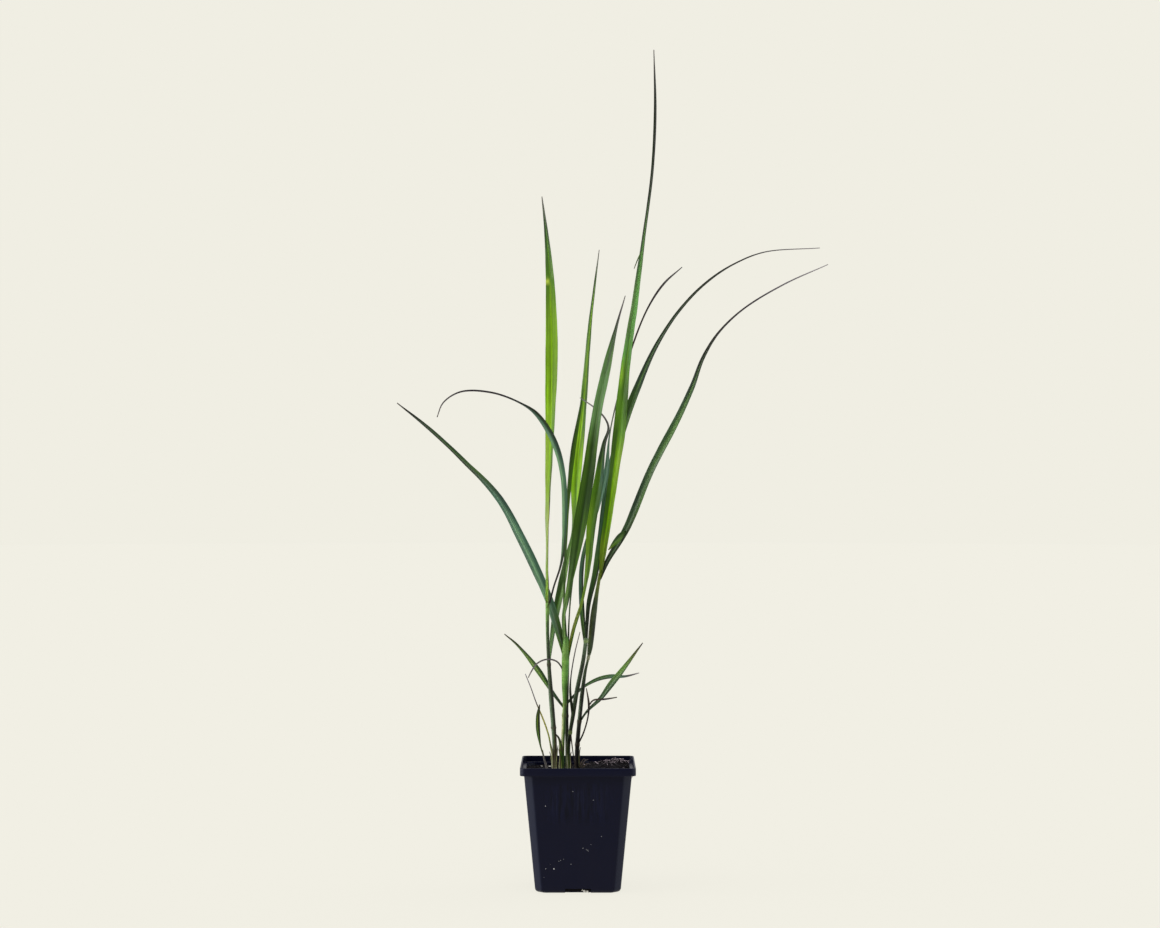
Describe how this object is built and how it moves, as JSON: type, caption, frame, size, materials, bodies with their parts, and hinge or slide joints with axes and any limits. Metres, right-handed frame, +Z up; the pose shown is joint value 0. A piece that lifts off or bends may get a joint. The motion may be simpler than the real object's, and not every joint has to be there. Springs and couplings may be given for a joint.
{
  "type": "potted switchgrass",
  "caption": "Upright clump grass with long folded and arching blades on thin jointed stems, growing in peat soil in a square tapered nursery pot.",
  "frame": {"origin": "centre of the pot's flat underside", "axes": "+Z up along the stems, -Y towards the viewer of the plant's front, +X to that viewer's right"},
  "size_m": [0.3449, 0.145, 0.6676],
  "materials": {
    "pot_plastic": "satin",
    "peat_soil": "matte",
    "green_leaf": "satin",
    "dry_leaf": "matte"
  },
  "bodies": {
    "root": {"pot": "pot_plastic", "soil": "peat_soil", "stem_left": "green_leaf", "stem_centre": "green_leaf", "stem_back": "green_leaf", "stem_middle": "green_leaf", "stem_right": "green_leaf", "shoot_left": "green_leaf", "shoot_thread": "dry_leaf", "stub_dried": "dry_leaf"}
  },
  "joints": []
}
